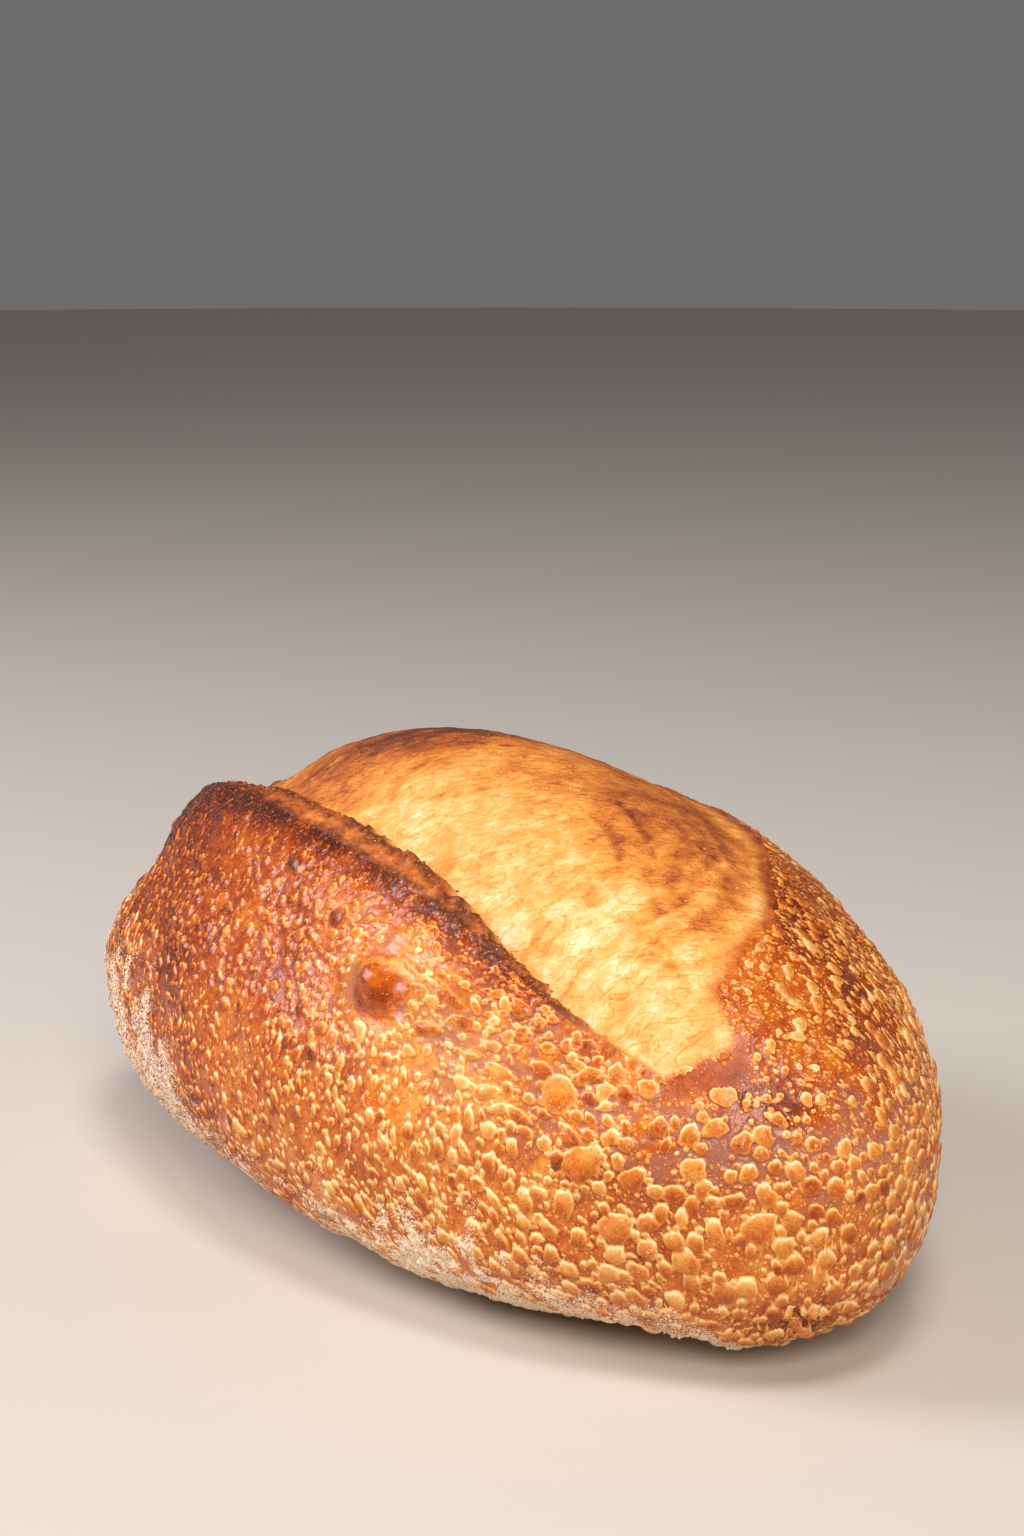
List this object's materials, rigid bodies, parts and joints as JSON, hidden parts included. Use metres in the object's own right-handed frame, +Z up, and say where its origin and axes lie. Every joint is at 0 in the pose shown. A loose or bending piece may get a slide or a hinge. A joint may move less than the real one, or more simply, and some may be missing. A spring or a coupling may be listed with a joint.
{
  "type": "oval hearth loaf",
  "caption": "Uncut oval hearth loaf with a lengthwise score, a raised ear along it, a pale opened bloom, a blistered crust and a flat floured sole.",
  "frame": {"origin": "centre of the bounding box's bottom face, on the floor that the sole rests on", "axes": "+X along the loaf towards its narrower, blistered end; +Z up; the flank with the ear faces -Y"},
  "size_m": [0.258, 0.1454, 0.1048],
  "materials": {
    "crust": "semi-gloss baked crust, blistered, floured at the base"
  },
  "bodies": {
    "root": {"loaf": "crust"}
  },
  "joints": []
}
